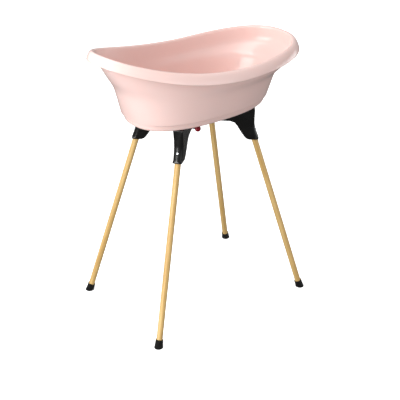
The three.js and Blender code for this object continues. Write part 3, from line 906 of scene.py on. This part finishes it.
# both arms as one rounded section carried from bracket to bracket; it thins where the other beam crosses
def beamSweep(name, hubLow, hubHigh):
    hub, top, under = stand["hubRadius"], stand["topZ"], stand["undersideZ"]
    underside, face = bracketLines()
    straight = np.array([hub + 0.2, 64, 74, 84, 92, 98, 105, 112])
    level = np.ones(len(straight))
    inner = np.concatenate(
        [[(2, hubLow), (hub, hubLow)], np.column_stack([straight, level * under]), underside])
    outer = np.concatenate(
        [[(2, hubHigh), (hub, hubHigh)], np.column_stack([straight, level * top]), face])
    length = np.linalg.norm(outer - inner, axis=1)
    direction = (outer - inner) / length[:, None]
    half = beamHalfWidth(inner[:, 0])
    zero = np.zeros(len(length))
    corners = np.stack([np.stack([zero, -half], -1), np.stack([length, -half], -1),
                        np.stack([length, half], -1), np.stack([zero, half], -1)], axis=1)
    # the outer face is well rounded from below its shoulder, the top and underside only softened
    height = outer[:, 1]
    belowShoulder = np.clip((top - stand["shoulderDrop"] - height) / 24, 0, 1)
    onFace = belowShoulder * np.clip((height - stand["socketZ"]) / 8, 0.35, 1)
    outerReach = stand["topEdge"] + stand["faceRounding"] * onFace
    underReach = zero + stand["underEdge"]
    reach = np.stack([underReach, outerReach, outerReach, underReach], axis=1)
    section = rounded(corners, reach, 6, closed=True)
    place = inner[:, None, :] + section[..., :1] * direction[:, None, :]
    # the sides draw in at the very bottom edge
    soft = np.clip((stand["socketZ"] + 3 - place[..., 1]) / 3, 0, 1)
    drawnIn = 1 - 0.07 * soft * soft
    points = np.stack([place[..., 0], section[..., 1] * drawnIn, place[..., 1]], axis=-1)
    cap = np.broadcast_to(points[-1:].mean(axis=1, keepdims=True), points[-1:].shape)
    arm = np.concatenate([points, cap])
    mirrored = (arm * (-1, 1, 1))[::-1]
    return gridMesh(name, np.concatenate([mirrored, arm]) * mm)


# leg axis of one corner in the beam's own frame: foot point, direction up the leg, direction outwards.
# side picks the beam's end, and lean is 1 or -1 for the way that beam's feet are skewed
def legAxis(side, lean):
    foot = np.array([footOut, lean * footAside, 0]) * mm
    along = np.array([-math.sin(legSlope), 0, math.cos(legSlope)])
    across = np.array([math.cos(legSlope), 0, math.sin(legSlope)])
    endTurn = 0.0 if side > 0 else math.pi
    heading = endTurn + lean * legHeading
    return planTurned(foot, endTurn), planTurned(along, heading), planTurned(across, heading)


# plain cylinder between two distances along an axis
def rod(name, radius, start, end, origin, along, across, sides=48):
    profile = [(0, start), (radius, start), (radius, end), (0, end)]
    return gridMesh(name, laidAlong(turned(np.array(profile) * mm, sides), origin, along, across))


# upright cylinder for cutting, at a place in plan
def drill(radius, low, high, place=(0, 0), sides=48):
    origin = np.array([*place, 0]) * mm
    return rod("drill", radius, low, high, origin, zAxis, xAxis, sides)


# outline with straight sides and round ends, centred at a distance from the hub
def stadium(middle, halfLength, half, count=64):
    angle = (np.arange(count) + 0.5) * turn / count
    straight = np.sign(np.cos(angle)) * (halfLength - half)
    outline = np.column_stack([middle + straight + half * np.cos(angle), half * np.sin(angle)])
    inner = np.column_stack([middle + straight, np.zeros(count)])
    return outline, inner


# curved slot that the lock pin's tip runs in, with its middle line
def arcSlot(start, end, radius, half, count=28):
    sweep = np.linspace(start, end, count)
    tip = np.linspace(0, math.pi, 10)[1:-1]
    lines = [(sweep, radius + half, None), (end + tip, half, end), (sweep[::-1], radius - half, None),
             (start + math.pi + tip, half, start)]
    outline, inner = [], []
    for angle, reach, tipAt in lines:
        heading = np.column_stack([np.cos(angle), np.sin(angle)])
        if tipAt is None:
            outline.append(reach * heading)
            inner.append(radius * heading)
        else:
            centre = radius * np.array([math.cos(tipAt), math.sin(tipAt)])
            outline.append(centre + reach * heading)
            inner.append(np.broadcast_to(centre, heading.shape))
    return np.concatenate(outline), np.concatenate(inner)


# screws, sockets and pad pockets that both beams share, then weight-saving pockets between ribs underneath
def beamCuts(lean):
    groups = [[], [], []]
    for side in (-1, 1):
        foot, along, across = legAxis(side, lean)
        socketStart = stand["socketZ"] / math.cos(legSlope)
        socketEnd = socketStart + stand["socketDepth"]
        groups[0].append(rod("socket", stand["socketBore"], socketStart - 30, socketEnd, foot, along, across))
        outline, inner = stadium(
            side * stand["padMiddle"], stand["padHalfLength"] + fitGap, stand["padHalf"] + fitGap)
        pocket = raised(outline, inner, stand["padBottom"] - fitGap, stand["cutHigh"])
        groups[0].append(gridMesh("pad pocket", pocket * mm))
        screwCentre = foot + along * (stand["screwZ"] / math.cos(legSlope)) * mm
        groups[1].append(rod("screw recess", stand["screwHead"] + 2 * fitGap, stand["screwSeat"] - fitGap, 40,
                             screwCentre, across, along, 32))
        groups[2].append(rod("screw hole", stand["screwHole"], 0, 30, screwCentre, across, along, 20))
        for middle in stand["ribPockets"]:
            width = 2 * (beamHalfWidth(middle) - stand["ribWall"])
            size = np.array([stand["ribPocketLength"], width, stand["ribPocketHeight"]])
            centre = np.array([side * middle, 0, stand["ribPocketZ"]])
            groups[1].append(boxMesh("rib pocket", centre * mm, size * mm))
    return [tool for group in groups for tool in group]


# hub disc with softened edges
def hubDisc(name, low, high):
    corners = [(0, low), (stand["discRadius"], low), (stand["discRadius"], high), (0, high)]
    return gridMesh(name, turned(rounded(corners, 1.4, 5) * mm, 120))


# lower beam: the arms, the lower disc and the boss, cut for the pivot, its cover, the lock pin and spring
def lowerBeam():
    disc = hubDisc("disc", stand["undersideZ"] - 0.5, stand["lowerDiscTop"])
    radius, bottom, under = stand["bossRadius"], stand["bossBottom"], stand["undersideZ"]
    bossCorners = [(0, bottom), (radius, bottom), (radius, 672), (radius + 1.2, under - 0.2),
                   (radius + 1.2, under + 4), (0, under + 4)]
    boss = gridMesh("boss", turned(rounded(bossCorners, 1.5, 5) * mm, 72))
    arms = beamSweep("beam_lower", stand["undersideZ"], stand["lowerDiscTop"] - 0.5)
    solid = carved(arms, "UNION", [disc, boss])
    lockAngle = stand["lockPlan"] - stand["planAngle"]
    lockPlace = (stand["lockRadius"] * math.cos(lockAngle), stand["lockRadius"] * math.sin(lockAngle))
    tools = beamCuts(-1) + [
        drill(stand["pivotHole"], stand["cutLow"], stand["cutHigh"]),
        drill(stand["nutRecess"], stand["cutLow"], stand["nutRecessTop"]),
        drill(stand["pinHole"], stand["lockCutLow"], stand["cutHigh"], lockPlace, 32),
        drill(stand["springWell"], stand["lockCutLow"], stand["springWellTop"], lockPlace),
    ]
    return carved(solid, "DIFFERENCE", tools)


# upper beam: the arms and the upper disc, cut for the pivot, its head and the curved lock slot
def upperBeam():
    disc = hubDisc("disc", stand["upperDiscBottom"], stand["topZ"] + 0.2)
    arms = beamSweep("beam_upper", stand["upperDiscBottom"] + 0.5, stand["topZ"] - 0.3)
    solid = carved(arms, "UNION", [disc])
    start = stand["lockPlan"] + stand["planAngle"]
    outline, inner = arcSlot(start, start + stand["foldAngle"], stand["lockRadius"], stand["lockSlotHalf"])
    slotPoints = raised(outline, inner, stand["upperDiscBottom"] - 3, stand["lockSlotTop"])
    tools = beamCuts(1) + [
        drill(stand["pivotHole"], stand["cutLow"], stand["cutHigh"]),
        drill(stand["headRecess"], stand["headRecessFloor"], stand["cutHigh"]),
        gridMesh("lock slot", slotPoints * mm),
    ]
    return carved(solid, "DIFFERENCE", tools)


# each beam is drawn along X and then turned to its own plan angle
def beams():
    for name, mesh, angle, body in (("beam_lower", lowerBeam(), stand["planAngle"], "stand"),
                                    ("beam_upper", upperBeam(), -stand["planAngle"], "swing_frame")):
        mesh.vertices.foreach_set("co", planTurned(pointsOf(mesh), angle).ravel())
        mesh.update()
        finished(name, mesh, blackPlastic, body)


beams()
print("beams made")


# legs, feet, screws and grip pads; profiles run along the leg or along the screw
leg = {
    "radius": 10.45, "inset": 7, "chamfer": 1.2, "rows": 80,
    # foot: radius and distance along the leg from the floor
    "foot": [(0, -8), (15.4, -8), (15.2, 0), (14.7, 3), (13.6, 14), (13.3, 24), (13.2, 27.2), (12.6, 28),
             (11.2, 28), (10.75, 27.4), (10.75, 6.7), (0, 6.7)],
    "screw": [(0, -2.5), (1.9, -2.5), (1.9, 12.4), (4, 12.4), (4, 13.6), (2.9, 14.6), (0, 14.8)],
    "crossLength": 4.2, "crossWidth": 0.9, "crossFloor": 13.2, "crossTop": 17,
    "padRibs": 9, "padRibHeight": 0.25, "padTop": 721.7,
}


# grip pad: the round-ended outline rises, softens at its edge and closes in over a ribbed top
def gripPad(side):
    top, bottom, ribHeight = leg["padTop"], stand["padBottom"], leg["padRibHeight"]
    ribbed = top - ribHeight
    ribLength = 2 * stand["padHalfLength"] / leg["padRibs"]
    rows = []
    for inset, z in ((6.4, bottom), (0.5, bottom), (0, bottom + 0.5), (0, top - 1.2), (0.25, top - 0.5),
                     (0.9, ribbed), (1.6, ribbed), (3.0, ribbed), (4.5, ribbed), (6.4, ribbed)):
        outline, inner = stadium(side * stand["padMiddle"], stand["padHalfLength"], stand["padHalf"], 160)
        flat = inner + (outline - inner) * (1 - inset / stand["padHalf"])
        height = np.full(len(flat), float(z))
        if z == ribbed and inset > 1:
            height += ribHeight * np.cos((flat[:, 0] - side * stand["padMiddle"]) * turn / ribLength)
        rows.append(np.column_stack([flat, height]))
    return np.array(rows)


# everything at one corner of the stand: the leg, its foot, its screw and the grip pad above it
def legSet(corner, side, lean, body):
    angle = -lean * stand["planAngle"]
    foot, along, across = legAxis(side, lean)
    foot, along, across = (planTurned(v, angle) for v in (foot, along, across))
    socketStart = stand["socketZ"] / math.cos(legSlope)
    end = socketStart + stand["socketDepth"] - 1

    heights = np.linspace(leg["inset"] + leg["chamfer"], end - leg["chamfer"], leg["rows"])
    radius, chamfer = leg["radius"], leg["chamfer"]
    profile = np.concatenate([
        [(0, leg["inset"]), (radius - chamfer, leg["inset"])],
        np.column_stack([np.full(leg["rows"], radius), heights]),
        [(radius - chamfer, end), (0, end)],
    ]) * mm
    local = turned(profile, 48)
    name = f"leg_{corner}"
    mesh = gridMesh(name, laidAlong(local, foot, along, across))
    offset = pointsOf(mesh) - foot
    sideways = np.cross(along, across)
    # each leg is cut from its own stretch of wood
    stretch = {"front": 0.0, "back": 1.7, "left": 3.1, "right": 4.9}[corner]
    place = np.column_stack([offset @ across + stretch, offset @ sideways, offset @ along])
    attribute = mesh.attributes.new(beechLook["placeName"], "FLOAT_VECTOR", "POINT")
    attribute.data.foreach_set("vector", place.astype(np.float32).ravel())
    finished(name, mesh, beechWood, body)

    name = f"foot_{corner}"
    ferrule = gridMesh(name, laidAlong(turned(rounded(leg["foot"], 0.7, 4) * mm, 72), foot, along, across))
    floorCut = boxMesh("floor cut", foot - 0.02 * zAxis, (0.08, 0.08, 0.04), angle)
    finished(name, carved(ferrule, "DIFFERENCE", [floorCut]), blackRubber, body)

    name = f"leg_screw_{corner}"
    centre = foot + along * (stand["screwZ"] / math.cos(legSlope)) * mm
    head = gridMesh(name, laidAlong(turned(rounded(leg["screw"], 0.4, 4) * mm, 40), centre, across, along))
    bar = np.array([[x * leg["crossLength"], y * leg["crossWidth"], z]
                    for z in (leg["crossFloor"], leg["crossTop"]) for x, y in square])
    crossCuts = []
    for turnAngle in (math.pi / 4, 3 * math.pi / 4):
        barPlace = laidAlong(planTurned(bar * mm, turnAngle), centre, across, along)
        shape = boxMesh("cross cut", (0, 0, 0), (1, 1, 1))
        shape.vertices.foreach_set("co", barPlace.ravel())
        crossCuts.append(tidied(shape))
    finished(name, carved(head, "DIFFERENCE", crossCuts), plainSteel, body)

    name = f"grip_pad_{corner}"
    pad = gridMesh(name, planTurned(gripPad(side) * mm, angle))
    finished(name, pad, blackRubber, body)


for cornerName, cornerSide, cornerLean, cornerBody in (
    ("front", -1, -1, "stand"),
    ("back", 1, -1, "stand"),
    ("left", -1, 1, "swing_frame"),
    ("right", 1, 1, "swing_frame"),
):
    legSet(cornerName, cornerSide, cornerLean, cornerBody)
print("legs made")


# pivot pieces as [radius, height] above each piece's own foot
pivot = {
    "bolt": [(0, 0), (3.4, 0), (4, 0.8), (4, 59.8), (9.2, 59.8), (9.0, 61.6), (7.6, 63.8), (4.6, 65.4),
             (0, 65.8)],
    "socketRadius": 3.0, "socketDepth": 3.4,
    "washer": [(4.3, 0), (8.8, 0), (8.8, 1.5), (4.3, 1.5)],
    "slipWasher": [(4.3, 0), (20, 0), (20, 1.0), (4.3, 1.0)],
    "nut": (7.8, 4.3, 6.9, 1.0),
    "cover": [(0, 0), (12, 0.3), (16.2, 2.2), (16.2, 4.1), (8.8, 4.1), (8.8, 7.9), (0, 7.9)],
}


# the bolt with its hexagon key hole, the washers, the nut and the cover under the boss
def pivotSet():
    bolt = gridMesh("pivot_bolt", turned(rounded(pivot["bolt"], 0.6, 4) * mm, 64) + footOf("pivot_bolt"))
    headTop = footOf("pivot_bolt")[2] / mm + pivot["bolt"][-1][1]
    keyHole = drill(pivot["socketRadius"], headTop - pivot["socketDepth"], headTop + 3, sides=6)
    finished("pivot_bolt", carved(bolt, "DIFFERENCE", [keyHole]), plainSteel, "stand")
    turnedPiece("pivot_washer", pivot["washer"], 0.3, plainSteel, "stand",
                closed=True, sides=48)
    turnedPiece("slip_washer", pivot["slipWasher"], 0.25, fittingPlastic, "stand",
                closed=True)
    radius, hole, height, chamfer = pivot["nut"]
    nut = hexNut("pivot_nut", radius, hole, height, chamfer, footOf("pivot_nut"))
    finished("pivot_nut", nut, plainSteel, "stand")
    turnedPiece("pivot_cover", pivot["cover"], 0.8, blackPlastic, "stand")


# the lock under the crossing: knob, pin, bush and spring
lock = {
    "ball": 10.4, "neck": 5.6, "height": 26.0, "bore": 3.3, "boreDepth": 12.1,
    "pin": [(0, 0), (3, 0), (3, 34.9), (6.6, 34.9), (6.6, 37.4), (3, 37.4), (3, 47.2), (1.9, 48.6),
            (0, 48.6)],
    "bush": [(3.3, 0), (10.2, 0), (11, 0.8), (11, 4.5), (6.9, 4.5), (6.9, 7.6), (3.3, 7.6)],
    "coilRadius": 5.1, "wireRadius": 0.6, "turns": 4.5, "coilHeight": 11.2, "pull": 7,
}


# round wire carried up a helix, whose first and last half turns lie flat as ground coil ends do
def coilPoints(rows=260, sides=10):
    t = np.linspace(0, 1, rows)
    angle = turn * lock["turns"] * t
    flat = 0.5 / lock["turns"]
    rise = np.clip((t - flat) / (1 - 2 * flat), 0, 1)
    rise = rise * rise * (3 - 2 * rise) * 0.35 + rise * 0.65
    path = np.column_stack([lock["coilRadius"] * np.cos(angle), lock["coilRadius"] * np.sin(angle),
                            lock["coilHeight"] * rise])
    along = np.gradient(path, axis=0)
    along /= np.linalg.norm(along, axis=1, keepdims=True)
    outward = np.column_stack([np.cos(angle), np.sin(angle), np.zeros(rows)])
    upward = np.cross(along, outward)
    upward /= np.linalg.norm(upward, axis=1, keepdims=True)
    around = np.arange(sides) * turn / sides
    wire = np.full(rows, lock["wireRadius"])
    wire[[0, -1]] = 0
    spread = (np.cos(around)[None, :, None] * outward[:, None]
              + np.sin(around)[None, :, None] * upward[:, None])
    return path[:, None] + wire[:, None, None] * spread


# the knob on its pin, the bush that guides it and the spring that pushes it up
def lockSet():
    # knob: a ball that runs into a short neck, with a fine moulding line round its middle
    neckAngle = math.acos(lock["neck"] / lock["ball"])
    angle = np.linspace(-math.pi / 2, neckAngle, 40)
    groove = 0.12 * np.exp(-((angle - 0.02) / 0.035) ** 2)
    reach = lock["ball"] - groove
    ball = np.column_stack([reach * np.cos(angle), lock["ball"] + reach * np.sin(angle)])
    height = lock["height"]
    neckEnd = [(lock["neck"], height - 0.5), (lock["neck"] - 0.5, height), (0, height)]
    profile = np.concatenate([ball, neckEnd])
    foot = footOf("lock_knob")
    knob = gridMesh("lock_knob", turned(profile * mm, 72) + foot)
    bore = rod("bore", lock["bore"], lock["boreDepth"], height + 4, foot, zAxis, xAxis, 32)
    finished("lock_knob", carved(knob, "DIFFERENCE", [bore]), redPlastic, "lock")
    turnedPiece("lock_pin", lock["pin"], 0.3, plainSteel, "lock", sides=40)
    turnedPiece("lock_bush", lock["bush"], 0.3, blackPlastic, "stand", closed=True)

    low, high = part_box("lock_spring")
    start = footOf("lock_pin") * (1, 1, 0) + zAxis * (low.z + lock["wireRadius"] * mm)
    spring = gridMesh("lock_spring", planTurned(coilPoints() * mm, stand["planAngle"]) + start)
    coil = finished("lock_spring", spring, plainSteel, "stand")
    # the pin's collar presses the spring down onto the bush as the knob is pulled, but the coil is left at
    # rest: its height and foot are worked out and not used, and it gets a mesh of its own
    height = high.z - low.z
    foot = start * (1, 1, 0) + zAxis * low.z
    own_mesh(coil)


pivotSet()
lockSet()
print("pivot and lock made")


# room, light and camera, in metres and radians
studio = {
    "floorSize": 400.0, "floorColour": (0.93, 0.93, 0.93, 1), "floorGlow": 0.75,
    "skyStrength": 0.5, "lowStrength": 0.16, "fadeHalf": 0.3,
    "camera": (-1.8635, -2.5016, 2.0410), "yaw": 0.645691, "pitch": 0.492567, "roll": 0.00394,
    "lens": 90.24, "sensor": 36,
    # name: (where, size, watts), each aimed at the tub
    "lights": {
        "key": ((-2.5, -0.1, 2.0), (2.2, 1.6), 50),
        "top": ((-0.5, 0.1, 3.0), (1.6, 1.2), 19),
        "side": ((-2.9, -0.9, 0.8), (1.0, 1.3), 50),
        "fill": ((0.7, -3.0, 1.0), (2.2, 1.2), 12),
        "right": ((2.8, -0.9, 0.5), (2.0, 0.9), 18),
    },
    "aim": (0.0, 0.0, 0.85),
}


# plain pale floor under the feet
def studioFloor():
    mesh = bpy.data.meshes.new("floor")
    corners = [(x * studio["floorSize"], y * studio["floorSize"], 0) for x, y in square]
    mesh.from_pydata(corners, [], [(0, 1, 2, 3)])
    floor = bpy.data.objects.new("floor", mesh)
    scene.collection.objects.link(floor)
    material = bpy.data.materials.new("pale floor")
    material.use_nodes = True
    shader = material.node_tree.nodes["Principled BSDF"]
    shader.label = "plain pale floor"
    shader.inputs["Base Color"].default_value = studio["floorColour"]
    shader.inputs["Roughness"].default_value = 0.8
    shader.inputs["Specular IOR Level"].default_value = 0.2
    shader.inputs["Emission Color"].default_value = (1, 1, 1, 1)
    shader.inputs["Emission Strength"].default_value = studio["floorGlow"]
    mesh.materials.append(material)
    # the floor shows white without throwing its light back up at the object
    floor.visible_diffuse = False
    floor.visible_glossy = False


# even room light that dims below the horizon
def studioRoom():
    world = bpy.data.worlds.new("studio")
    scene.world = world
    world.use_nodes = True
    nodes, links = world.node_tree.nodes, world.node_tree.links
    nodes.clear()

    heading = nodes.new("ShaderNodeTexCoord")
    heading.label = "direction in the room"
    heading.location = (-600, 0)

    split = nodes.new("ShaderNodeSeparateXYZ")
    split.label = "how far up it points"
    split.location = (-400, 0)
    links.new(heading.outputs["Generated"], split.inputs["Vector"])

    fade = nodes.new("ShaderNodeMapRange")
    fade.label = "dim below, bright above"
    fade.location = (-200, 0)
    fade.inputs["From Min"].default_value = -studio["fadeHalf"]
    fade.inputs["From Max"].default_value = studio["fadeHalf"]
    fade.inputs["To Min"].default_value = studio["lowStrength"]
    fade.inputs["To Max"].default_value = studio["skyStrength"]
    links.new(split.outputs["Z"], fade.inputs["Value"])

    background = nodes.new("ShaderNodeBackground")
    background.label = "room light"
    background.location = (20, 0)
    background.inputs["Color"].default_value = (1, 1, 1, 1)
    links.new(fade.outputs["Result"], background.inputs["Strength"])

    room = nodes.new("ShaderNodeOutputWorld")
    room.label = "room"
    room.location = (220, 0)
    links.new(background.outputs["Background"], room.inputs["Surface"])


# soft rectangular lights, all aimed at the tub
def studioLights():
    for name, (where, size, watts) in studio["lights"].items():
        data = bpy.data.lights.new(name, "AREA")
        data.shape = "RECTANGLE"
        data.size, data.size_y = size
        data.energy = watts
        light = bpy.data.objects.new(name, data)
        scene.collection.objects.link(light)
        light.location = where
        aim = Vector(studio["aim"]) - Vector(where)
        light.rotation_euler = aim.to_track_quat("-Z", "Y").to_euler()


# the camera's axes from its yaw off +Y, its pitch downwards and its roll
def studioCamera():
    yaw, pitch, roll = studio["yaw"], studio["pitch"], studio["roll"]
    look = np.array(
        [math.sin(yaw) * math.cos(pitch), math.cos(yaw) * math.cos(pitch), -math.sin(pitch)])
    level = np.array([math.cos(yaw), -math.sin(yaw), 0])
    rise = np.cross(level, look)
    right = level * math.cos(roll) + rise * math.sin(roll)
    up = rise * math.cos(roll) - level * math.sin(roll)
    data = bpy.data.cameras.new("camera")
    data.lens = studio["lens"]
    data.sensor_width = studio["sensor"]
    camera = bpy.data.objects.new("camera", data)
    scene.collection.objects.link(camera)
    pose = np.eye(4)
    pose[:3, 0], pose[:3, 1], pose[:3, 2], pose[:3, 3] = right, up, -look, studio["camera"]
    camera.matrix_world = Matrix(pose.tolist())
    scene.camera = camera


studioFloor()
studioRoom()
studioLights()
studioCamera()
scene.view_settings.view_transform = "Standard"
print("studio made")
